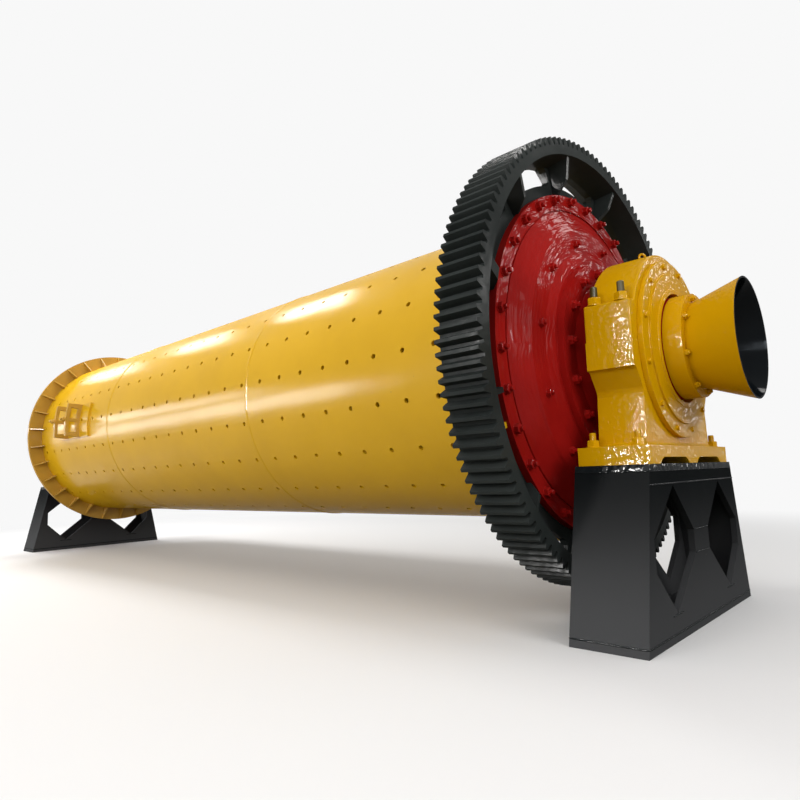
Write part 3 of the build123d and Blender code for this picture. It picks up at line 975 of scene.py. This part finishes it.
@dataclass(frozen=True)
class Drum:
    """Shell, flanges, gear and manhole of the drum."""

    kit: Kit
    shell_radius: float = 0.992
    seams: Pair = (-1.330, 1.330)
    seam_half_width: float = 0.016
    seam_rise: float = 0.0050
    seam_root: float = 0.0008
    seam_shares: tuple[float, ...] = (-0.6, -0.2, 0.2, 0.6)
    seam_steps: int = 180
    manhole_x: float = -2.230
    manhole_angle: float = 4.5
    yoke_spacing: float = 0.340
    yoke_top: float = 1.166
    gear_split: float = 16.45
    joint_thickness: float = 0.034
    joint_bolt_place: Pair = (3.752, 1.248)
    tab_place: Triple = (3.731, 1.104, -23.7)
    tab_size: Triple = (0.040, 0.034, 0.030)
    tab_rounding: float = 0.005
    tab_spin: float = 20.0

    def seam_beads(self) -> None:
        """Weld beads round the two seams of the shell."""
        bm = bmesh.new()
        low = self.shell_radius - self.seam_root
        for x in self.seams:
            outline = [(x - self.seam_half_width, low)]
            for share in self.seam_shares:
                rise = self.seam_rise * math.cos(share * math.pi / 2)
                outline.append((x + share * self.seam_half_width, self.shell_radius + rise))
            outline.append((x + self.seam_half_width, low))
            turned(bm, outline, self.seam_steps)
        self.kit.fit(new_piece("shell_seam_beads", bm), Body.DRUM, Slot.SHELL, Palette.SHELL)

    def yoke_nuts(self) -> None:
        """Stud and nut at the middle of each manhole yoke."""
        turn = math.radians(self.manhole_angle)
        outward = Vector((0.0, -math.cos(turn), math.sin(turn)))
        seats = []
        for side in (-0.5, 0.5):
            x = self.manhole_x + side * self.yoke_spacing
            seats.append(seated(on_drum(x, self.yoke_top, self.manhole_angle), outward))
        piece = new_piece("manhole_yoke_nuts", Stock.YOKE_NUT.build(seats))
        # the yoke nuts take the mustard with painted shade
        self.kit.fit(piece, Body.DRUM, Slot.SHELL, Palette.FLANGE)

    def joint_bolts(self) -> None:
        """Bolts that hold the two halves of the gear together."""
        seats = []
        x, radius = self.joint_bolt_place
        for angle in (self.gear_split, self.gear_split + 180.0):
            turn = math.radians(angle)
            along = Vector((0.0, math.sin(turn), math.cos(turn)))
            for side in (-1.0, 1.0):
                point = on_drum(x, radius, angle) + along * side * self.joint_thickness
                seats.append(seated(point, along * side))
        piece = new_piece("gear_joint_bolts", Stock.GEAR_BOLT.build(seats))
        self.kit.fit(piece, Body.DRUM, Slot.GEAR, Palette.GEAR)

    def locating_tab(self) -> None:
        """Small lug left yellow on the gear's web, beside the red flange."""
        bm = bmesh.new()
        bmesh.ops.create_cube(bm, size=1.0)
        bmesh.ops.scale(bm, verts=bm.verts, vec=self.tab_size)
        bmesh.ops.bevel(bm, geom=list(bm.edges), offset=self.tab_rounding, offset_type="OFFSET",
                        affect="EDGES", segments=3, profile=0.5, material=-1)
        seat = seated(on_drum(*self.tab_place), Vector((1.0, 0.0, 0.0)), self.tab_spin)
        bmesh.ops.transform(bm, matrix=seat, verts=bm.verts)
        self.kit.fit(new_piece("gear_locating_tab", bm), Body.DRUM, Slot.SHELL, Palette.SHELL)

    def dress(self) -> None:
        """Paint the drum's nodes and add its welds and bolts."""
        self.kit.paint(Palette.SHELL, "shell_feed_course", "shell_middle_course",
                       "shell_discharge_course", "discharge_shell_flange", "manhole_cover")
        # the feed flange and the yokes take the shell yellow darkened as painted shade
        self.kit.paint(Palette.FLANGE, "feed_shell_flange", "manhole_yokes")
        self.kit.paint(Palette.GEAR, "girth_gear_upper_half", "girth_gear_lower_half")
        self.seam_beads()
        self.yoke_nuts()
        self.joint_bolts()
        self.locating_tab()


@dataclass(frozen=True)
class Bearing(EndAssembly):
    """Bearing housing at one end: rounded castings, studs, cover bolts and lifting eye."""

    cap_studs: Triple = (0.076, 0.560, 1.750)
    foot_studs: Triple = (0.122, 0.603, 0.975)
    cap_stud_top: float = 0.106
    foot_stud_top: float = 0.078
    stud_spins: Pair = (20.0, 11.0)
    thread_sunk: float = 0.001
    cover_reach: float = 0.159
    cover_circle: BoltCircle = BoltCircle(Stock.COVER_BOLT, 0.485, 12, 15.0)
    eye_height: float = 2.106
    castings: tuple[tuple[str, float, float], ...] = (
        ("bearing_base", 0.010, 0.030), ("bearing_cap", 0.012, 0.018), ("bearing_cover", 0.005, 0.006))

    def fit(self, piece: bpy.types.Object, finish: Finish = Palette.CASTING) -> None:
        """Fit a piece to the housing."""
        self.kit.fit(piece, Body.PEDESTALS, Slot.BEARING, finish)

    def upright(self, place: Triple) -> list[Matrix]:
        """Seats of four upright studs.

        Args:
            place: Reach and Y of a stud from the middle, and the height of its seat.

        Returns:
            One matrix for each corner.
        """
        reach, y, z = place
        spin_across, spin_side = self.stud_spins
        return [seated(Vector((self.end.x(across * reach), side * y, z)), Vector((0.0, 0.0, 1.0)),
                       spin_across * across + spin_side * side)
                for across in (-1, 1) for side in (-1, 1)]

    def studs(self) -> None:
        """Nuts and threads on the cap's ledges and the foot."""
        sets = (("cap", self.cap_studs, Stock.CAP_NUT, self.cap_stud_top, Palette.THREAD),
                ("foot", self.foot_studs, Stock.FOOT_NUT, self.foot_stud_top, Palette.CASTING))
        for name, place, nut, top, finish in sets:
            seats = self.upright(place)
            self.fit(new_piece(self.named(f"{name}_nuts"), nut.build(seats)))
            bm = bmesh.new()
            for seat in seats:
                Thread(nut.stud).build(bm, seat, nut.top - self.thread_sunk, top)
            self.fit(new_piece(self.named(f"{name}_threads"), bm), finish)

    def dress(self) -> None:
        """Round and paint the castings and add what is bolted to them."""
        for node, edge, hollow in self.castings:
            self.fit(Casting(self.named(node), edge, hollow).build(self.kit))
        self.kit.paint(Palette.CASTING, self.named("seal_ring"))
        self.studs()
        bolts = self.cover_circle.build(self.end, self.cover_reach)
        self.fit(new_piece(self.named("cover_bolts"), bolts))
        seat = Matrix.Translation((self.end.x(0.0), 0.0, self.eye_height))
        self.fit(new_piece(self.named("lifting_eye"), LiftingEye().build(seat)))


@dataclass(frozen=True)
class Pedestal(EndAssembly):
    """Welded pedestal at one end, with its weld beads."""

    half_width: float = 0.197
    top_half_length: float = 0.680
    bottom_half_length: float = 0.874
    height: float = 0.878
    lines: tuple[Pair, ...] = ((0.040, 0.0050), (0.777, 0.0060), (0.843, 0.0040))
    waist: Pair = (0.393, 0.517)
    waist_half_length: float = 0.122
    sill_height: float = 0.128
    sill: Pair = (0.385, 0.535)
    window_bead: float = 0.0045
    smooth_under: float = 50.0

    def half_length(self, z: float) -> float:
        """Half length of the pedestal at a height."""
        slope = (self.bottom_half_length - self.top_half_length) / self.height
        return self.bottom_half_length - slope * z

    def beads(self) -> BMesh:
        """Lay every weld bead of the pedestal.

        Returns:
            The bmesh that holds them all.
        """
        bm = bmesh.new()
        level = [(-self.half_length(z), self.half_length(z), z, radius) for z, radius in self.lines]
        level += [(-self.waist_half_length, self.waist_half_length, z, self.window_bead)
                  for z in self.waist]
        level += [(side * self.sill[0], side * self.sill[1], self.sill_height, self.window_bead)
                  for side in (-1.0, 1.0)]
        for face in (-1.0, 1.0):
            x = self.end.x(face * self.half_width)
            for start, stop, z, radius in level:
                Bead(radius).build(bm, Vector((x, start, z)), Vector((x, stop, z)))
        for side in (-1.0, 1.0):
            for z, radius in (self.lines[0], self.lines[-1]):
                y = side * self.half_length(z)
                Bead(radius).build(bm, Vector((self.end.x(-self.half_width), y, z)),
                                   Vector((self.end.x(self.half_width), y, z)))
        return bm

    def dress(self) -> None:
        """Paint the pedestal's plates and add its beads."""
        plates = ("top_plate", "outer_plate", "inner_plate", "side_plates", "base_plate")
        self.kit.paint(Palette.PLATE, *(self.named(f"pedestal_{plate}") for plate in plates))
        self.kit.paint(Palette.SOLE, self.named("sole_plate"))
        piece = new_piece(self.named("pedestal_weld_beads"), self.beads(), self.smooth_under)
        self.kit.fit(piece, Body.PEDESTALS, Slot.PEDESTAL, Palette.SOLE)


@dataclass(frozen=True)
class Lamp:
    """Rectangular studio lamp. One that is a shine is mirrored in gloss and adds no other light."""

    name: str
    place: Triple
    target: Triple
    size: Pair
    power: float
    shine: bool = False
    colour: Colour = (1.0, 0.98, 0.96)

    def build(self) -> None:
        """Add the lamp, which the camera itself doesn't see."""
        data = bpy.data.lights.new(self.name, "AREA")
        data.shape = "RECTANGLE"
        data.size, data.size_y = self.size
        data.energy = self.power
        data.color = self.colour
        lamp = bpy.data.objects.new(self.name, data)
        aim = Vector(self.target) - Vector(self.place)
        turn = aim.to_track_quat("-Z", "Y").to_matrix().to_4x4()
        lamp.matrix_world = Matrix.Translation(self.place) @ turn
        lamp.visible_camera = False
        lamp.visible_diffuse = not self.shine
        bpy.context.scene.collection.objects.link(lamp)


@dataclass(frozen=True)
class Studio:
    """Floor, lamps, surroundings and camera."""

    backdrop: Colour = (0.939, 0.939, 0.939)
    sky: Colour = (0.84, 0.84, 0.84)
    sky_height: float = 0.9
    horizon: Colour = (0.39, 0.39, 0.39)
    floor_seen: Colour = (0.78, 0.78, 0.78)
    floor_bounce: Colour = (0.25, 0.235, 0.20)
    floor_size: float = 90.0
    floor_drop: float = 0.0005
    floor_near: float = 5.0
    floor_far: float = 10.0
    camera_place: Triple = (5.5005, -3.7276, 0.8655)
    camera_right: Triple = (0.73397, 0.67828, -0.03493)
    camera_up: Triple = (0.10796, -0.06574, 0.99198)
    camera_range: Pair = (0.05, 300.0)
    sensor: float = 36.0
    lens: float = 27.66
    lamps: tuple[Lamp, ...] = (
        Lamp("skylight_near", (-2.6, 0.0, 6.2), (-2.6, 0.0, 0.0), (1.8, 1.6), 170.0),
        Lamp("skylight_middle", (-6.4, 0.0, 6.2), (-6.4, 0.0, 0.0), (2.2, 1.6), 130.0),
        Lamp("skylight_far", (-11.0, 0.0, 6.2), (-11.0, 0.0, 0.0), (2.8, 1.6), 155.0),
        Lamp("lower_window", (-14.0, -8.2, 1.65), (-14.0, 0.0, 1.65), (18.0, 1.3), 600.0),
        Lamp("upper_window", (-17.0, -7.0, 3.6), (-15.0, 0.0, 1.6), (14.0, 1.0), 480.0),
        Lamp("end_panel", (13.0, -2.5, 5.0), (4.3, 0.0, 1.5), (6.0, 4.0), 380.0),
        Lamp("near_panel", (3.5, -10.5, 4.6), (1.5, 0.0, 1.3), (10.0, 5.0), 530.0),
        Lamp("window_shine", (-14.0, -8.2, 1.55), (-14.0, 0.0, 1.55), (18.0, 0.8), 2600.0, True),
        Lamp("doorway_shine", (1.02, -8.0, 2.20), (4.2, -0.5, 1.5), (0.75, 2.5), 1550.0, True),
        Lamp("roof_shine", (4.9, 3.2, 5.9), (3.8, -0.4, 2.3), (1.8, 1.2), 110.0, True),
        Lamp("far_shine", (7.8, 6.6, 4.6), (3.9, 0.0, 1.9), (1.3, 0.8), 100.0, True),
        Lamp("low_shine", (6.3, 5.6, 1.3), (4.3, 0.0, 1.1), (0.6, 0.3), 14.0, True),
        Lamp("side_shine", (10.8, -7.3, 3.1), (4.7, 0.3, 1.55), (4.0, 2.4), 2100.0, True,
             (0.82, 0.92, 1.0)),
    )

    def floor(self) -> None:
        """Pale floor that fades into the backdrop far from the mill."""
        bm = bmesh.new()
        bmesh.ops.create_grid(bm, x_segments=2, y_segments=2, size=self.floor_size)
        bmesh.ops.translate(bm, verts=bm.verts, vec=(0.0, 0.0, -self.floor_drop))
        ground = new_piece("studio_floor", bm)
        material = bpy.data.materials.new("Studio floor")
        graph = Graph.fresh(material)
        distance = graph.add("ShaderNodeVectorMath", {"operation": "LENGTH"},
                             Vector=graph.coordinates("Object"))
        far = graph.band(distance.outputs["Value"], self.floor_near, self.floor_far)
        tone = graph.mix(self.seen(graph), self.floor_bounce, self.floor_seen)
        matt = graph.add("ShaderNodeBsdfDiffuse", Color=tone)
        glow = graph.add("ShaderNodeEmission", Color=self.backdrop, Strength=1.0)
        shader = graph.blend(graph.math("MULTIPLY", far, self.seen(graph)), matt, glow)
        graph.add("ShaderNodeOutputMaterial", Surface=shader.outputs[0])
        ground.data.materials.append(material)

    @staticmethod
    def seen(graph: Graph) -> Socket:
        """Mask of the rays that show the backdrop: from the camera, mirrored or through glass.

        Args:
            graph: Graph that receives the nodes.

        Returns:
            The mask.
        """
        rays = graph.add("ShaderNodeLightPath").outputs
        shown = graph.math("MAXIMUM", rays["Is Camera Ray"], rays["Is Glossy Ray"])
        return graph.math("MAXIMUM", shown, rays["Is Transmission Ray"])

    def surroundings(self) -> None:
        """World: the pale backdrop where it is seen or mirrored, and light from above elsewhere."""
        world = bpy.data.worlds.new("Studio surroundings")
        graph = Graph.fresh(world)
        height = graph.split(graph.coordinates("Generated"))["Z"]
        light = graph.mix(graph.band(height, 0.0, self.sky_height), self.horizon, self.sky)
        soft = graph.add("ShaderNodeBackground", Color=light, Strength=1.0)
        pale = graph.add("ShaderNodeBackground", Color=self.backdrop, Strength=1.0)
        shader = graph.blend(self.seen(graph), soft, pale)
        graph.add("ShaderNodeOutputWorld", Surface=shader.outputs[0])
        bpy.context.scene.world = world

    def camera(self) -> None:
        """Camera at the photograph's view."""
        right, up = Vector(self.camera_right).normalized(), Vector(self.camera_up)
        back = right.cross(up).normalized()
        up = back.cross(right)
        data = bpy.data.cameras.new("view_camera")
        data.sensor_width = self.sensor
        data.lens = self.lens
        data.clip_start, data.clip_end = self.camera_range
        camera = bpy.data.objects.new("view_camera", data)
        turn = Matrix((right, up, back)).transposed().to_4x4()
        camera.matrix_world = Matrix.Translation(self.camera_place) @ turn
        bpy.context.scene.collection.objects.link(camera)
        bpy.context.scene.camera = camera

    def build(self) -> None:
        """Build the whole studio."""
        self.camera()
        self.floor()
        self.surroundings()
        for lamp in self.lamps:
            lamp.build()
        bpy.context.scene.view_settings.view_transform = "Standard"


def main() -> None:
    """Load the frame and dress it."""
    logging.basicConfig(level=logging.INFO, format="%(name)s: %(message)s")
    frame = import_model()
    kit = Kit(frame, Effects())
    Studio().build()
    Drum(kit).dress()
    for end in End:
        DrumEnd(kit, end).dress()
        Bearing(kit, end).dress()
        Pedestal(kit, end).dress()


if __name__ == "__main__":
    main()
